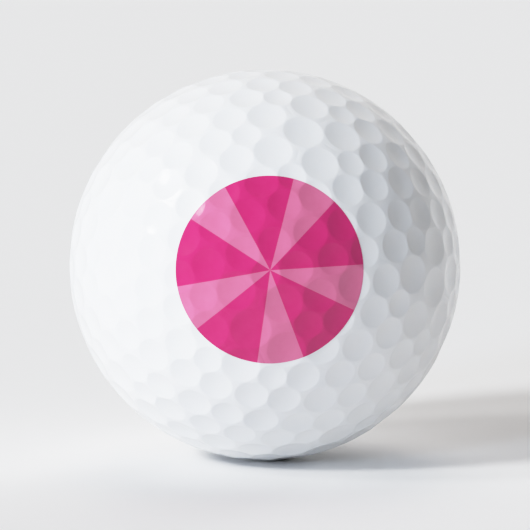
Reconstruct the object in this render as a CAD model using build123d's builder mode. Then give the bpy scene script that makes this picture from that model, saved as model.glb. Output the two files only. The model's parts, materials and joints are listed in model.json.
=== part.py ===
"""A three-piece golf ball: rubber core, mantle, dimpled cover and a round two-ink print on the cover.

Millimetres, +Z up, origin at the ball's centre. The print faces -Y, a little above the horizontal.
"""

from build123d import *
from math import asin, atan, cos, degrees, radians, sin, sqrt
import os

# ---- driving dimensions ----
BALL_DIAMETER = 42.67
CORE_DIAMETER = 38.5
MANTLE_THICKNESS = 1.1

# The dimples are spherical caps. DEPTH_SHARE is depth below the ball's surface over diameter.
DEPTH_SHARE = 0.062
VERTEX_DIMPLE = 4.40
RING_DIMPLE = 4.15
SMALL_DIMPLE = 3.10
FLANK_DIMPLE = 3.65
EDGE_DIMPLE = 3.60
FACE_DIMPLE = 3.45
SIDE_DIMPLE = 3.75

# How far, in degrees, each kind of dimple lies from a corner of its triangle of the pattern.
RING_STEP = 12.0
SMALL_STEP = 16.6
FLANK_STEP = 22.15
FLANK_AIM = 9.1
EDGE_STEP = 25.85
FACE_STEP = 31.4
SIDE_STEP = 11.6

# How the pattern is turned about X, Y and Z from standing on one of its vertices.
PATTERN_TURN = (-18.6, -17.1, 4.3)

# The print is a film of ink that follows the dimples, in wedges of a dark and a light ink by turns.
PRINT_DIAMETER = 20.0
INK_THICKNESS = 0.03
WEDGE_PAIRS = 5
DARK_SHARE = 0.6
PRINT_AZIMUTH = 1.5
PRINT_ELEVATION = 6.5
PRINT_SPIN = 3.0

# Cutters stand this far proud of the surface they cut, and the ink is cut from a disc that starts
# this far below the print's rim.
OVERCUT = 0.005
DISC_MARGIN = 1.0

# ---- sizes that follow ----
BALL_RADIUS = BALL_DIAMETER / 2
CORE_RADIUS = CORE_DIAMETER / 2
MANTLE_RADIUS = CORE_RADIUS + MANTLE_THICKNESS
PRINT_RADIUS = PRINT_DIAMETER / 2
PRINT_FLOOR = sqrt(BALL_RADIUS**2 - PRINT_RADIUS**2) - DISC_MARGIN
PRINT_REACH = degrees(asin((PRINT_RADIUS + VERTEX_DIMPLE) / BALL_RADIUS))
PAIR_SWEEP = 360 / WEDGE_PAIRS
DARK_SWEEP = PAIR_SWEEP * DARK_SHARE
LIGHT_SWEEP = PAIR_SWEEP - DARK_SWEEP
RING_LATITUDE = degrees(atan(0.5))


def direction(azimuth, elevation):
    """The unit vector at this azimuth from +X and this elevation above XY."""
    flat = cos(radians(elevation))
    return Vector(flat * cos(radians(azimuth)), flat * sin(radians(azimuth)), sin(radians(elevation)))


def between(start, end, angle):
    """The direction that lies angle degrees from start, on the great circle towards end."""
    side = (end - start * start.dot(end)).normalized()
    return start * cos(radians(angle)) + side * sin(radians(angle))


def icosahedron():
    """The twelve vertex directions of an icosahedron, turned as the pattern is."""
    turned = Plane.XY.rotated(PATTERN_TURN)
    upper = [direction(72 * step, RING_LATITUDE) for step in range(5)]
    lower = [direction(72 * step + 36, -RING_LATITUDE) for step in range(5)]
    return [turned.from_local_coords(v) for v in [Vector(0, 0, 1), *upper, *lower, Vector(0, 0, -1)]]


def pattern_triangles():
    """The 120 equal triangles of the pattern, each as its vertex, edge-middle and face-middle directions."""
    corners = icosahedron()

    def joined(one, other):
        return 0.4 < one.dot(other) < 0.5

    return [
        (first, (first + second).normalized(), (first + second + third).normalized())
        for first in corners
        for second in corners
        for third in corners
        if joined(first, second) and joined(second, third) and joined(first, third)
    ]


def dimples_in(vertex, edge, face):
    """The direction and diameter of each dimple that one triangle holds, whole or in part."""
    return [
        (vertex, VERTEX_DIMPLE),
        (between(vertex, face, RING_STEP), RING_DIMPLE),
        (between(vertex, edge, SMALL_STEP), SMALL_DIMPLE),
        (between(vertex, between(face, edge, FLANK_AIM), FLANK_STEP), FLANK_DIMPLE),
        (between(vertex, edge, EDGE_STEP), EDGE_DIMPLE),
        (between(vertex, face, FACE_STEP), FACE_DIMPLE),
        (between(face, edge, SIDE_STEP), SIDE_DIMPLE),
    ]


def dimple_directions():
    """Every dimple of the ball once: diameter to list of directions."""
    found = {}
    for triangle in pattern_triangles():
        for place, diameter in dimples_in(*triangle):
            key = (round(place.X, 4) + 0.0, round(place.Y, 4) + 0.0, round(place.Z, 4) + 0.0)
            found.setdefault(diameter, {})[key] = place
    return {diameter: list(places.values()) for diameter, places in found.items()}


def dimple_cutter(diameter, lift=0.0):
    """The lens that cuts one dimple at +Z. With lift, it cuts the surface that lies that far outside."""
    depth = DEPTH_SHARE * diameter
    rim_height = sqrt(BALL_RADIUS**2 - (diameter / 2) ** 2)
    sagitta = rim_height - (BALL_RADIUS - depth)
    bowl_radius = ((diameter / 2) ** 2 + sagitta**2) / (2 * sagitta)
    with BuildPart() as cutter:
        Sphere(BALL_RADIUS + lift + OVERCUT)
        with Locations((0, 0, BALL_RADIUS - depth + bowl_radius)):
            Sphere(bowl_radius - lift, mode=Mode.INTERSECT)
    return cutter.part


def turned_to(place):
    """The location that turns +Z to point at this direction."""
    return Plane(origin=(0, 0, 0), z_dir=place).location


def save(part, label):
    part.label = label
    export_step(part, f"parts/{label}.step")


os.makedirs("parts", exist_ok=True)
dimples = dimple_directions()
print("dimples:", sum(len(places) for places in dimples.values()))

# ---- core ----
with BuildPart() as core:
    Sphere(CORE_RADIUS)

# ---- mantle ----
with BuildPart() as mantle:
    Sphere(MANTLE_RADIUS)
    Sphere(CORE_RADIUS, mode=Mode.SUBTRACT)

# ---- the dimpled outside, which the cover and the print share ----
with BuildPart() as dimpled_ball:
    Sphere(BALL_RADIUS)
    for diameter, places in dimples.items():
        with Locations(*[turned_to(place) for place in places]):
            add(dimple_cutter(diameter), mode=Mode.SUBTRACT)

# ---- cover ----
with BuildPart() as cover:
    add(dimpled_ball.part)
    Sphere(MANTLE_RADIUS, mode=Mode.SUBTRACT)

# ---- print ----
print_axis = direction(PRINT_AZIMUTH - 90, PRINT_ELEVATION)
print_plane = Plane(origin=(0, 0, 0), x_dir=print_axis.cross(Vector(0, 0, 1)) * -1, z_dir=print_axis)

with BuildPart() as ink_film:
    with BuildSketch(print_plane.offset(PRINT_FLOOR)):
        Circle(PRINT_RADIUS)
    extrude(amount=BALL_RADIUS)
    Sphere(BALL_RADIUS + INK_THICKNESS, mode=Mode.INTERSECT)
    for diameter, places in dimples.items():
        near = [place for place in places if place.get_angle(print_axis) < PRINT_REACH]
        if near:
            with Locations(*[turned_to(place) for place in near]):
                add(dimple_cutter(diameter, lift=INK_THICKNESS), mode=Mode.SUBTRACT)
    add(dimpled_ball.part, mode=Mode.SUBTRACT)


def print_wedge(start, sweep):
    """The wedge of the ink film that begins at this angle about the print's axis."""
    reach = 2 * PRINT_RADIUS
    with BuildPart() as wedge:
        with BuildSketch(print_plane.offset(PRINT_FLOOR)):
            with BuildLine():
                first = PolarLine((0, 0), reach, start)
                last = PolarLine((0, 0), reach, start + sweep)
                Line(first @ 1, last @ 1)
            make_face()
        extrude(amount=BALL_RADIUS)
        add(ink_film.part, mode=Mode.INTERSECT)
    return wedge.part


save(core.part, "core")
save(mantle.part, "mantle")
save(cover.part, "cover")
for index in range(WEDGE_PAIRS):
    start = PRINT_SPIN + index * PAIR_SWEEP
    save(print_wedge(start, DARK_SWEEP), f"print_dark_{index + 1}")
    save(print_wedge(start + DARK_SWEEP, LIGHT_SWEEP), f"print_light_{index + 1}")
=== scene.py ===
"""A three-piece golf ball with a round two-ink print, standing on a pale studio floor.

Metres, +Z up, origin at the ball's centre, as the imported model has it. The print faces -Y. The core and
the mantle are the model's own nodes. The dimpled cover and the ten films of ink are rebuilt here with
soft, painted dimple rims, just inside the model's surface.
"""

import json

import bmesh
import bpy
import numpy as np
from mathutils import Matrix, Vector
from mathutils.geometry import delaunay_2d_cdt

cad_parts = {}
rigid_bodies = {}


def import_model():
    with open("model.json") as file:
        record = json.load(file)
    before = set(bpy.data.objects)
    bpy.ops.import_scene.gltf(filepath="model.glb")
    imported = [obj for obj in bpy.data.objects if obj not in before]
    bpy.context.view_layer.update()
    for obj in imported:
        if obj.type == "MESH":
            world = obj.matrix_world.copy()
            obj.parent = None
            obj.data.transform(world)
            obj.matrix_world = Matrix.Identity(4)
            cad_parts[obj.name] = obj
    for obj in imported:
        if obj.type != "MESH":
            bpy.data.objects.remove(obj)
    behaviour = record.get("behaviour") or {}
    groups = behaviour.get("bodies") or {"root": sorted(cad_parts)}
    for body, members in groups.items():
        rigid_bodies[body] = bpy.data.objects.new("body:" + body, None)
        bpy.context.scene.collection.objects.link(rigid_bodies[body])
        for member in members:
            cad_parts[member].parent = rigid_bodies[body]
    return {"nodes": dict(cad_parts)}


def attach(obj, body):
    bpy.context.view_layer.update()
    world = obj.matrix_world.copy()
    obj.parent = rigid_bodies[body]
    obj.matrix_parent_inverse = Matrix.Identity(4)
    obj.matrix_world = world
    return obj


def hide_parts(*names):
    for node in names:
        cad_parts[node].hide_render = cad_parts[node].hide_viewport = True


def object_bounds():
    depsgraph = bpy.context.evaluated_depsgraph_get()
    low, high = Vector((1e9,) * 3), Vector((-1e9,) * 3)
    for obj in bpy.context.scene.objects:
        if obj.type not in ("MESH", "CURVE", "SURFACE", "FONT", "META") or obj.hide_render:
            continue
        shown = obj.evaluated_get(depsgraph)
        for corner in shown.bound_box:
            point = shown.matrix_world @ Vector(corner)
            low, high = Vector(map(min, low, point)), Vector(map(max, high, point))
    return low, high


for unwanted in list(bpy.data.objects):
    bpy.data.objects.remove(unwanted)

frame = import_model()
cad_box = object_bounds()

MM = 0.001

# ---- the ball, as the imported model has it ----
BALL_RADIUS = 42.67 * MM / 2
MANTLE_RADIUS = (38.5 / 2 + 1.1) * MM
DEPTH_SHARE = 0.062
VERTEX_DIMPLE = 4.40 * MM
RING_DIMPLE = 4.15 * MM
SMALL_DIMPLE = 3.10 * MM
FLANK_DIMPLE = 3.65 * MM
EDGE_DIMPLE = 3.60 * MM
FACE_DIMPLE = 3.45 * MM
SIDE_DIMPLE = 3.75 * MM

# How far, in degrees, each kind of dimple lies from a corner of its triangle of the pattern.
RING_STEP = 12.0
SMALL_STEP = 16.6
FLANK_STEP = 22.15
FLANK_AIM = 9.1
EDGE_STEP = 25.85
FACE_STEP = 31.4
SIDE_STEP = 11.6
PATTERN_TURN = (-18.6, -17.1, 4.3)
# Directions from two triangles that agree to this many digits are one dimple.
SAME_DIGITS = 4

# ---- the print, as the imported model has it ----
PRINT_RADIUS = 10.0 * MM
INK_THICKNESS = 0.03 * MM
# The film's underside lies this far inside the ball's surface.
INK_BEDDING = 0.004 * MM
WEDGE_PAIRS = 5
DARK_SHARE = 0.6
PRINT_AZIMUTH = 1.5
PRINT_ELEVATION = 6.5
PRINT_SPIN = 3.0
# The print's edge is cut in straight facets of about RIM_FACET degrees, from the part of the ball whose
# place along the print's axis is over PRINT_SIDE of the radius.
RIM_FACET = 3.0
PRINT_SIDE = 0.8

# ---- the mesh of the cover ----
# The surface lies SURFACE_EASE inside the model's, and each dimple's rim is rounded over a few times
# RIM_SOFTNESS.
SURFACE_EASE = 0.0015 * MM
RIM_SOFTNESS = 0.010 * MM
# Each dimple gets circles of points at these distances out from its rim, and at these shares of its radius.
RIM_POINTS = 26
RIM_OFFSETS = [offset * MM for offset in (-0.05, 0.02, -0.13, 0.09, -0.24, 0.18)]
BOWL_SHARES = (0.72, 0.40)
# A point nearer than SNAP_GAP to its triangle's side moves onto it. Points keep POINT_GAP apart.
SNAP_GAP = 0.04 * MM
POINT_GAP = 0.07 * MM
# A grid of points FILL_STEP apart fills what is left, and its points keep FILL_GAP apart. A triangle's
# longest side is a little under TRIANGLE_SPAN degrees.
FILL_GAP = 0.33 * MM
FILL_STEP = 0.20 * MM
TRIANGLE_SPAN = 40
# Points closer than WELD_GAP are one point, and what is within ON_PLANE of a plane or line lies on it.
WELD_GAP = 0.001 * MM
ON_PLANE = 1e-9
# The kind of Delaunay result that fills the points' convex hull with triangles.
WHOLE_HULL = 0
WALL_SUBDIVISIONS = 5

# ---- colours, as linear red, green and blue: each surface varies between its two ----
COVER_WHITES = ((0.850, 0.855, 0.865), (0.870, 0.873, 0.879))
DARK_PINKS = ((0.558, 0.014, 0.144), (0.586, 0.019, 0.159))
LIGHT_PINKS = ((0.666, 0.147, 0.290), (0.692, 0.163, 0.312))
CORE_BLUES = ((0.03, 0.20, 0.26), (0.06, 0.30, 0.36))
MANTLE_WHITES = ((0.70, 0.73, 0.74), (0.80, 0.82, 0.82))
FLOOR_WHITES = ((0.900, 0.893, 0.885), (0.905, 0.898, 0.890))

# A noise value lies mostly between these.
NOISE_LOW = 0.3
NOISE_HIGH = 0.7

# A Mix node has sockets for every type of data. These are its share, its two colours and its result.
MIX_SHARE = 0
MIX_COLOURS = (6, 7)
MIX_RESULT = 2

# ---- the camera: the ball's outline is BALL_SHARE of the picture's width ----
VIEW_ELEVATION = 8.0
CAMERA_DISTANCE = 38.0 * BALL_RADIUS
BALL_SHARE = 0.738
CAMERA_CLIP = (0.01, 100.0)

# ---- the studio: the camera and reflections see BACKDROP all round, and FILL lights everything evenly ----
FLOOR_RADIUS = 8.0
FLOOR_SIDES = 96
LIGHT_DISTANCE = 30.0
BACKDROP = 0.94
FILL = 0.025

# The picture's tones follow the light up to the knee, and above it they roll off towards white.
TONE_KNEE = 0.5
TONE_END = 4.0
TONE_POINTS = 24


# ---- the dimple pattern ----
def unit(vector):
    return vector / np.linalg.norm(vector)


def direction(azimuth, elevation):
    """The unit vector at this azimuth from +X and this elevation above XY, in degrees."""
    turn, rise = np.radians((azimuth, elevation))
    return np.array((np.cos(rise) * np.cos(turn), np.cos(rise) * np.sin(turn), np.sin(rise)))


def between(start, end, angle):
    """The direction that lies angle degrees from start, on the great circle towards end."""
    side = unit(end - start * start.dot(end))
    return start * np.cos(np.radians(angle)) + side * np.sin(np.radians(angle))


def icosahedron():
    """The twelve vertex directions of an icosahedron, turned as the pattern is."""
    turned = Matrix.Identity(3)
    for angle, axis in zip(PATTERN_TURN, "XYZ"):
        turned = turned @ Matrix.Rotation(np.radians(angle), 3, axis)
    fifth = 360 / 5
    latitude = np.degrees(np.arctan(0.5))
    upper = [direction(fifth * step, latitude) for step in range(5)]
    lower = [direction(fifth * (step + 0.5), -latitude) for step in range(5)]
    poles = [direction(0, 90), direction(0, -90)]
    return [np.array(turned) @ corner for corner in (*poles, *upper, *lower)]


def pattern_triangles():
    """The 120 equal triangles of the pattern: rows of vertex, edge-middle and face-middle directions."""
    corners = icosahedron()

    def joined(one, other):
        """Whether two corners share an edge, which makes their dot product 1/sqrt(5)."""
        return np.isclose(one.dot(other), 1 / np.sqrt(5))

    return [
        np.array((first, unit(first + second), unit(first + second + third)))
        for first in corners
        for second in corners
        for third in corners
        if joined(first, second) and joined(second, third) and joined(first, third)
    ]


def dimples_in(vertex, edge, face):
    """Each dimple that one triangle holds, whole or in part: its direction, its diameter and a corner."""
    return [
        (vertex, VERTEX_DIMPLE, face),
        (between(vertex, face, RING_STEP), RING_DIMPLE, vertex),
        (between(vertex, edge, SMALL_STEP), SMALL_DIMPLE, vertex),
        (between(vertex, between(face, edge, FLANK_AIM), FLANK_STEP), FLANK_DIMPLE, vertex),
        (between(vertex, edge, EDGE_STEP), EDGE_DIMPLE, vertex),
        (between(vertex, face, FACE_STEP), FACE_DIMPLE, vertex),
        (between(face, edge, SIDE_STEP), SIDE_DIMPLE, face),
    ]


def all_dimples(triangles):
    """The directions and the diameters of the ball's 432 dimples, each once."""
    found = {}
    for triangle in triangles:
        for place, diameter, _ in dimples_in(*triangle):
            # Adding 0.0 turns a negative zero into a plain one.
            found[tuple(np.round(place, SAME_DIGITS) + 0.0)] = (place, diameter)
    places, diameters = zip(*found.values())
    return np.array(places), np.array(diameters)


class DimpledSurface:
    """The cover's outside as a radius for every direction."""

    def __init__(self, places, diameters):
        depth = DEPTH_SHARE * diameters
        rim_height = np.sqrt(BALL_RADIUS**2 - (diameters / 2) ** 2)
        sagitta = rim_height - (BALL_RADIUS - depth)
        self.places = places
        self.bowl_radius = ((diameters / 2) ** 2 + sagitta**2) / (2 * sagitta)
        self.bowl_height = BALL_RADIUS - depth + self.bowl_radius

    def depths(self, points):
        """How far each dimple's bowl lies below the ball's surface, for unit vectors in rows."""
        facing = points @ self.places.T
        inside = self.bowl_radius**2 - self.bowl_height**2 * (1 - facing**2)
        bowl = self.bowl_height * facing - np.sqrt(np.maximum(inside, 0))
        return np.where((facing > 0) & (inside > 0), BALL_RADIUS - bowl, -BALL_RADIUS)

    def radii(self, points):
        """The soft-rimmed radius for unit vectors in rows. It is never above the sharp-rimmed surface."""
        sunk = np.exp(self.depths(points) / RIM_SOFTNESS).sum(axis=1)
        return BALL_RADIUS - SURFACE_EASE - RIM_SOFTNESS * np.log1p(sunk)


# ---- the cover's mesh ----
def circle_points(centre, towards, angle, count):
    """Unit vectors on a circle round centre, from the side of towards on."""
    ahead = unit(towards - centre * centre.dot(towards))
    aside = np.cross(centre, ahead)
    turns = np.arange(count)[:, None] * (2 * np.pi / count)
    rim = ahead * np.cos(turns) + aside * np.sin(turns)
    return centre * np.cos(angle) + rim * np.sin(angle)


def dimple_circle(dimple, radius, count_share=1):
    """Points on a circle about a dimple, equally many for each of the pattern's mirror lines through it."""
    centre, diameter, corner = dimple
    mirrors = 5 if diameter == VERTEX_DIMPLE else 1
    count = 2 * mirrors * round(count_share * RIM_POINTS / (2 * mirrors))
    return circle_points(centre, corner, np.arcsin(radius / BALL_RADIUS), count)


def wanted_points(triangle):
    """Points worth having in the triangle's mesh, the most wanted first, some of them outside it."""
    dimples = dimples_in(*triangle)
    wanted = [triangle]
    for offset in RIM_OFFSETS:
        wanted += [dimple_circle(dimple, dimple[1] / 2 + offset) for dimple in dimples]
    for share in BOWL_SHARES:
        wanted += [dimple_circle(dimple, share * dimple[1] / 2, share) for dimple in dimples]
    wanted.append(np.array([centre for centre, _, _ in dimples]))
    return np.concatenate(wanted)


def side_normals(triangle):
    """The inward normals of the planes through the triangle's sides."""
    sides = [np.cross(triangle[i], triangle[(i + 1) % 3]) for i in range(3)]
    return np.array([unit(side) * np.sign(side.dot(triangle[i - 1])) for i, side in enumerate(sides)])


def thinned(points, kept, gap):
    """The kept points, and each further point that is at least gap from all those before it."""
    kept = list(kept)
    for point in points:
        away = np.linalg.norm(np.array(kept) - point, axis=1).min() * BALL_RADIUS
        if away > gap:
            kept.append(point)
    return kept


def fitted(points, normals):
    """The points inside the triangle, with those near a side moved onto it."""
    snap = SNAP_GAP / BALL_RADIUS
    for normal in normals:
        away = points @ normal
        points = points - np.where(np.abs(away) < snap, away, 0)[:, None] * normal
        points = points / np.linalg.norm(points, axis=1)[:, None]
    return points[(points @ normals.T > -ON_PLANE).all(axis=1)]


def fill_points(triangle):
    """A close grid of points over the triangle, to fill what the dimples' circles leave."""
    steps = int(np.radians(TRIANGLE_SPAN) * BALL_RADIUS / FILL_STEP)
    corner, one, other = triangle
    shares = [(i / steps, j / steps) for i in range(1, steps) for j in range(1, steps - i)]
    return np.array([unit(corner * (1 - a - b) + one * a + other * b) for a, b in shares])


def triangle_mesh(triangle):
    """Unit vectors and faces that cover one triangle of the pattern, with points along its sides."""
    normals = side_normals(triangle)
    points = thinned(fitted(wanted_points(triangle), normals), triangle, POINT_GAP)
    points = np.array(thinned(fitted(fill_points(triangle), normals), points, FILL_GAP))

    middle = unit(triangle.sum(axis=0))
    across = unit(np.cross(middle, triangle[0]))
    along = np.cross(across, middle)
    depth = points @ middle
    flat = np.stack((points @ along / depth, points @ -across / depth), axis=1)
    places = [Vector(place) for place in flat]
    _, _, found, origins, _, _ = delaunay_2d_cdt(places, [], [], WHOLE_HULL, ON_PLANE, True)
    faces = np.array([[origins[corner][0] for corner in face] for face in found])
    on_side = np.abs(points @ normals.T) < ON_PLANE
    faces = faces[~on_side[faces].all(axis=1).any(axis=1)]
    sides = np.cross(points[faces[:, 1]] - points[faces[:, 0]], points[faces[:, 2]] - points[faces[:, 0]])
    inward = np.einsum("ij,ij->i", sides, points[faces[:, 0]]) < 0
    faces[inward] = faces[inward][:, ::-1]
    return points, faces


def dimpled_mesh():
    """The whole dimpled outside as a bmesh, from one triangle's mesh laid on all 120 triangles."""
    triangles = pattern_triangles()
    surface = DimpledSurface(*all_dimples(triangles))
    points, faces = triangle_mesh(triangles[0])
    points = points * surface.radii(points)[:, None]
    to_corners = np.linalg.inv(triangles[0].T)
    all_points, all_faces = [], []
    for index, triangle in enumerate(triangles):
        move = triangle.T @ to_corners
        all_points.append(points @ move.T)
        turned = faces if np.linalg.det(move) > 0 else faces[:, ::-1]
        all_faces.append(turned + index * len(points))
    mesh = bpy.data.meshes.new("dimpled")
    mesh.from_pydata(np.concatenate(all_points).tolist(), [], np.concatenate(all_faces).tolist())
    shell = bmesh.new()
    shell.from_mesh(mesh)
    bpy.data.meshes.remove(mesh)
    bmesh.ops.remove_doubles(shell, verts=shell.verts, dist=WELD_GAP)
    return shell


# ---- pieces ----
def add_piece(name, shell, material, slot, *nodes):
    """A smooth piece from a bmesh, which stands for these CAD nodes."""
    for face in shell.faces:
        face.smooth = True
    mesh = bpy.data.meshes.new(name)
    shell.to_mesh(mesh)
    shell.free()
    piece = bpy.data.objects.new(name, mesh)
    bpy.context.scene.collection.objects.link(piece)
    mesh.materials.append(material)
    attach(piece, "root")
    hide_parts(*nodes)


def cover_shell(dimpled):
    """The dimpled outside with the smooth wall that closes on the mantle."""
    shell = dimpled.copy()
    wall = bmesh.ops.create_icosphere(shell, subdivisions=WALL_SUBDIVISIONS, radius=MANTLE_RADIUS)
    wall_faces = list({face for vert in wall["verts"] for face in vert.link_faces})
    bmesh.ops.reverse_faces(shell, faces=wall_faces)
    return shell


def ink_axes():
    """The print's axis, and the two directions across it that its angles are counted from."""
    axis = direction(PRINT_AZIMUTH - 90, PRINT_ELEVATION)
    across = unit(np.cross(np.array((0, 0, 1)), axis))
    return axis, across, np.cross(axis, across)


def keep_side(shell, point, outward):
    """Cuts the bmesh with a plane and drops what lies on the side that outward points to."""
    everything = [*shell.verts, *shell.edges, *shell.faces]
    bmesh.ops.bisect_plane(
        shell, geom=everything, dist=ON_PLANE, plane_co=point, plane_no=outward, clear_outer=True
    )


def keep_print_side(shell):
    """Drops the faces that lie well away from the print."""
    axis = Vector(ink_axes()[0])
    far = [face for face in shell.faces if face.calc_center_median().dot(axis) < PRINT_SIDE * BALL_RADIUS]
    bmesh.ops.delete(shell, geom=far, context="FACES")


def ink_patch(dimpled, start, sweep):
    """The part of the dimpled surface under one wedge of the print."""
    _, across, up = ink_axes()

    def spoke(angle):
        return across * np.cos(np.radians(angle)) + up * np.sin(np.radians(angle))

    patch = dimpled.copy()
    keep_side(patch, (0, 0, 0), -spoke(start + 90))
    keep_side(patch, (0, 0, 0), spoke(start + sweep + 90))
    facets = round(sweep / RIM_FACET)
    for facet in range(facets):
        outward = spoke(start + sweep * (facet + 0.5) / facets)
        keep_side(patch, outward * PRINT_RADIUS, outward)
    return patch


def ink_film(dimpled, start, sweep):
    """One wedge of ink: a closed film that follows the surface, bedded a little way into it."""
    film = ink_patch(dimpled, start, sweep)
    bmesh.ops.triangulate(film, faces=film.faces)
    top = list(film.faces)
    rim = [edge for edge in film.edges if edge.is_boundary]
    lower = {}
    for vert in list(film.verts):
        place = vert.co.copy()
        lower[vert] = film.verts.new(place * (1 - INK_BEDDING / place.length))
        vert.co = place * (1 + INK_THICKNESS / place.length)
    for edge in rim:
        loop = edge.link_loops[0]
        first, second = loop.vert, loop.link_loop_next.vert
        film.faces.new((second, first, lower[first], lower[second]))
    for face in top:
        film.faces.new([lower[vert] for vert in reversed(face.verts)])
    for edge in rim:
        edge.smooth = False
    return film


# ---- materials ----
def add_node(tree, kind, **inputs):
    """A shader node with its inputs set by name: to a socket it is joined to, or to a value."""
    node = tree.nodes.new(kind)
    for name, value in inputs.items():
        socket = node.inputs[name.replace("_", " ")]
        if isinstance(value, bpy.types.NodeSocket):
            tree.links.new(value, socket)
        else:
            socket.default_value = value
    return node


def new_material(name):
    """A material with its node tree emptied, and its object-space coordinates."""
    material = bpy.data.materials.new(name)
    material.use_nodes = True
    tree = material.node_tree
    tree.nodes.clear()
    return material, tree, add_node(tree, "ShaderNodeTexCoord").outputs["Object"]


def noise(tree, place, grain, detail=3.0, roughness=0.5):
    """A noise value from 0 to 1 with features about grain metres across."""
    made = add_node(
        tree, "ShaderNodeTexNoise", Vector=place, Scale=1 / grain, Detail=detail, Roughness=roughness
    )
    return made.outputs["Fac"]


def spread(tree, value, low, high):
    """A noise value stretched to run from low to high."""
    ends = {"From_Min": NOISE_LOW, "From_Max": NOISE_HIGH, "To_Min": low, "To_Max": high}
    return add_node(tree, "ShaderNodeMapRange", Value=value, **ends).outputs["Result"]


def mixed(tree, share, colours):
    """A colour that runs from the first of two to the second with share, from 0 to 1."""
    made = tree.nodes.new("ShaderNodeMix")
    made.data_type = "RGBA"
    tree.links.new(share, made.inputs[MIX_SHARE])
    for socket, colour in zip(MIX_COLOURS, colours):
        made.inputs[socket].default_value = (*colour, 1)
    return made.outputs[MIX_RESULT]


def bumped(tree, height, depth):
    """A normal from a height that runs from 0 to 1 over depth metres."""
    return add_node(tree, "ShaderNodeBump", Height=height, Strength=1.0, Distance=depth).outputs["Normal"]


def finish_material(tree, **inputs):
    """Joins a Principled shader with these inputs to the output."""
    shader = add_node(tree, "ShaderNodeBsdfPrincipled", **inputs)
    add_node(tree, "ShaderNodeOutputMaterial", Surface=shader.outputs["BSDF"])


def cover_paint():
    """White painted ionomer: faint mottling, a fine orange peel and a soft clear coat."""
    material, tree, place = new_material("cover_white")
    mottle = spread(tree, noise(tree, place, grain=6 * MM), low=0, high=1)
    sheen = spread(tree, noise(tree, place, grain=1.5 * MM), low=0.39, high=0.46)
    peel = noise(tree, place, grain=0.35 * MM, detail=2.0)
    finish_material(
        tree,
        Base_Color=mixed(tree, mottle, COVER_WHITES),
        Roughness=sheen,
        Normal=bumped(tree, peel, depth=0.0010 * MM),
        Subsurface_Weight=0.15,
        Subsurface_Radius=(1.0, 0.9, 0.8),
        Subsurface_Scale=0.4 * MM,
        Coat_Weight=0.45,
        Coat_Roughness=0.12,
    )
    return material


def ink(name, colours):
    """Glossy printing ink: colour uneven where it went on thin, under the ball's clear coat."""
    material, tree, place = new_material(name)
    patchy = spread(tree, noise(tree, place, grain=1.2 * MM, detail=5.0, roughness=0.6), low=0, high=1)
    gloss = spread(tree, noise(tree, place, grain=0.8 * MM), low=0.44, high=0.52)
    peel = noise(tree, place, grain=0.3 * MM, detail=2.0)
    finish_material(
        tree,
        Base_Color=mixed(tree, patchy, colours),
        Roughness=gloss,
        Normal=bumped(tree, peel, depth=0.0010 * MM),
        Specular_IOR_Level=0.35,
        Coat_Weight=0.30,
        Coat_Roughness=0.14,
    )
    return material


def core_rubber():
    """Cured rubber: a strong colour with fine filler specks and a dull skin."""
    material, tree, place = new_material("core_rubber")
    specks = spread(tree, noise(tree, place, grain=0.5 * MM, detail=6.0, roughness=0.7), low=0, high=1)
    dull = spread(tree, noise(tree, place, grain=2 * MM), low=0.55, high=0.75)
    skin = noise(tree, place, grain=0.25 * MM, detail=4.0)
    finish_material(
        tree,
        Base_Color=mixed(tree, specks, CORE_BLUES),
        Roughness=dull,
        Normal=bumped(tree, skin, depth=0.01 * MM),
    )
    return material


def mantle_ionomer():
    """Moulded ionomer: milky, faintly cloudy, with a low sheen."""
    material, tree, place = new_material("mantle_ionomer")
    cloud = spread(tree, noise(tree, place, grain=4 * MM, detail=4.0), low=0, high=1)
    sheen = spread(tree, noise(tree, place, grain=1 * MM), low=0.35, high=0.5)
    skin = noise(tree, place, grain=0.4 * MM)
    finish_material(
        tree,
        Base_Color=mixed(tree, cloud, MANTLE_WHITES),
        Roughness=sheen,
        Normal=bumped(tree, skin, depth=0.003 * MM),
        Subsurface_Weight=0.3,
        Subsurface_Scale=1 * MM,
    )
    return material


def floor_paper():
    """Matt studio paper with the faintest unevenness."""
    material, tree, place = new_material("floor_paper")
    fibre = spread(tree, noise(tree, place, grain=3 * MM, detail=2.0), low=0, high=1)
    finish_material(tree, Base_Color=mixed(tree, fibre, FLOOR_WHITES), Roughness=0.9)
    return material


# ---- the studio ----
def add_floor(height):
    """A wide round floor at this height."""
    floor_mesh = bmesh.new()
    bmesh.ops.create_circle(floor_mesh, cap_ends=True, segments=FLOOR_SIDES, radius=FLOOR_RADIUS)
    mesh = bpy.data.meshes.new("floor")
    floor_mesh.to_mesh(mesh)
    floor_mesh.free()
    floor = bpy.data.objects.new("floor", mesh)
    floor.location.z = height
    mesh.materials.append(floor_paper())
    bpy.context.scene.collection.objects.link(floor)


def add_light(name, azimuth, elevation, width, strength, colour, shiny=False):
    """A square soft light aimed at the ball, which sees it width degrees wide.

    Strength is what it adds to a white surface that faces it. Only a shiny light makes highlights.
    """
    light = bpy.data.lights.new(name, "AREA")
    light.size = 2 * LIGHT_DISTANCE * np.tan(np.radians(width / 2))
    light.energy = strength * np.pi**2 * LIGHT_DISTANCE**2
    light.color = colour
    lamp = bpy.data.objects.new(name, light)
    outward = Vector(direction(azimuth, elevation))
    lamp.location = outward * LIGHT_DISTANCE
    lamp.rotation_mode = "QUATERNION"
    lamp.rotation_quaternion = outward.to_track_quat("Z", "Y")
    lamp.visible_camera = False
    lamp.visible_glossy = shiny
    bpy.context.scene.collection.objects.link(lamp)


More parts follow.
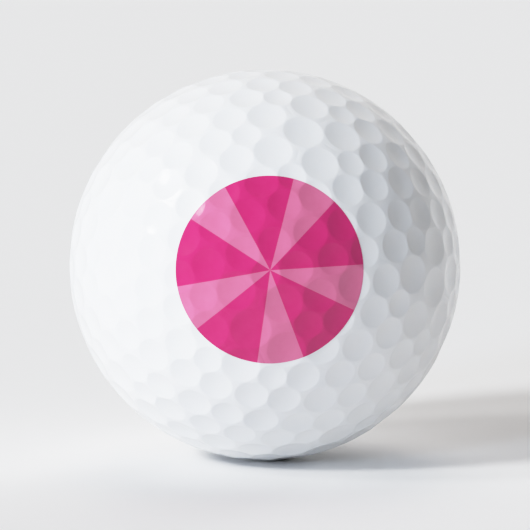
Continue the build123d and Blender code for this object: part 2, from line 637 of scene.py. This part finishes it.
def add_fill():
    """Even light from all round, and a backdrop as pale as the floor for the camera and for reflections."""
    world = bpy.data.worlds.new("studio")
    bpy.context.scene.world = world
    world.use_nodes = True
    tree = world.node_tree
    tree.nodes.clear()
    fill = add_node(tree, "ShaderNodeBackground", Color=(1, 1, 1, 1), Strength=FILL)
    backdrop = add_node(tree, "ShaderNodeBackground", Color=(BACKDROP, BACKDROP, BACKDROP, 1))
    ray = add_node(tree, "ShaderNodeLightPath")
    seen = tree.nodes.new("ShaderNodeMath")
    seen.operation = "MAXIMUM"
    tree.links.new(ray.outputs["Is Camera Ray"], seen.inputs[0])
    tree.links.new(ray.outputs["Is Glossy Ray"], seen.inputs[1])
    both = tree.nodes.new("ShaderNodeMixShader")
    tree.links.new(seen.outputs[0], both.inputs[0])
    tree.links.new(fill.outputs[0], both.inputs[1])
    tree.links.new(backdrop.outputs[0], both.inputs[2])
    add_node(tree, "ShaderNodeOutputWorld", Surface=both.outputs[0])


def set_tones():
    """Roll the bright tones off as a camera does, so that pale surfaces keep their shape and don't clip."""
    view = bpy.context.scene.view_settings
    view.view_transform = "Standard"
    view.use_curve_mapping = True
    view.curve_mapping.white_level = (TONE_END, TONE_END, TONE_END)
    # The first three curves are red, green and blue. The last acts on all of them, and has its ends.
    _, _, _, combined = view.curve_mapping.curves
    light = TONE_KNEE + (TONE_END - TONE_KNEE) * np.linspace(0, 1, TONE_POINTS) ** 2
    shade = 1 - (1 - TONE_KNEE) * np.exp((TONE_KNEE - light) / (1 - TONE_KNEE))
    for place, value in zip(light[:-1], shade[:-1]):
        combined.points.new(place / TONE_END, value)
    for point in combined.points:
        point.handle_type = "VECTOR"
    view.curve_mapping.update()


def add_camera():
    """A long lens that looks along +Y and a little down at the ball's centre."""
    camera = bpy.data.cameras.new("camera")
    outline = 1 / np.sqrt((CAMERA_DISTANCE / BALL_RADIUS) ** 2 - 1)
    camera.lens = camera.sensor_width / 2 * BALL_SHARE / outline
    camera.clip_start, camera.clip_end = CAMERA_CLIP
    eye = bpy.data.objects.new("camera", camera)
    outward = Vector(direction(-90, VIEW_ELEVATION))
    eye.location = outward * CAMERA_DISTANCE
    eye.rotation_mode = "QUATERNION"
    eye.rotation_quaternion = outward.to_track_quat("Z", "Y")
    bpy.context.scene.collection.objects.link(eye)
    bpy.context.scene.camera = eye


# ---- the ball ----
dimpled = dimpled_mesh()
add_piece("dimpled_cover", cover_shell(dimpled), cover_paint(), "cover_white", "cover")

keep_print_side(dimpled)
dark_ink = ink("ink_dark_pink", DARK_PINKS)
light_ink = ink("ink_light_pink", LIGHT_PINKS)
pair_sweep = 360 / WEDGE_PAIRS
dark_sweep = pair_sweep * DARK_SHARE
for pair in range(WEDGE_PAIRS):
    number = pair + 1
    first = PRINT_SPIN + pair * pair_sweep
    dark = ink_film(dimpled, first, dark_sweep)
    add_piece(f"ink_dark_{number}", dark, dark_ink, "ink_dark_pink", f"print_dark_{number}")
    light = ink_film(dimpled, first + dark_sweep, pair_sweep - dark_sweep)
    add_piece(f"ink_light_{number}", light, light_ink, "ink_light_pink", f"print_light_{number}")
dimpled.free()

for node_name, make_material in (("core", core_rubber), ("mantle", mantle_ionomer)):
    node = frame["nodes"][node_name]
    node.data.materials.clear()
    node.data.materials.append(make_material())

# ---- the studio ----
set_tones()
add_floor(cad_box[0].z)
add_fill()
add_light("key", azimuth=-142, elevation=30, width=9.5, strength=0.80, colour=(0.97, 1.0, 1.03))
add_light("key_high", azimuth=-164, elevation=37, width=9.5, strength=0.21, colour=(1, 1, 1), shiny=True)
add_light("key_low", azimuth=-125, elevation=15, width=9.5, strength=0.29, colour=(0.78, 0.97, 1.24))
add_light("side_low", azimuth=-165, elevation=8, width=9.5, strength=0.27, colour=(0.97, 1.0, 1.04))
add_light("back_middle", azimuth=90, elevation=40, width=28, strength=0.14, colour=(1.1, 0.98, 0.92))
add_light("back_top", azimuth=90, elevation=65, width=28, strength=0.24, colour=(1.05, 1.0, 0.95))
add_light("back_right", azimuth=45, elevation=50, width=28, strength=0.05, colour=(0.8, 0.98, 1.2))
add_light("rim_right", azimuth=60, elevation=12, width=12, strength=0.40, colour=(0.97, 1.0, 1.03))
add_camera()
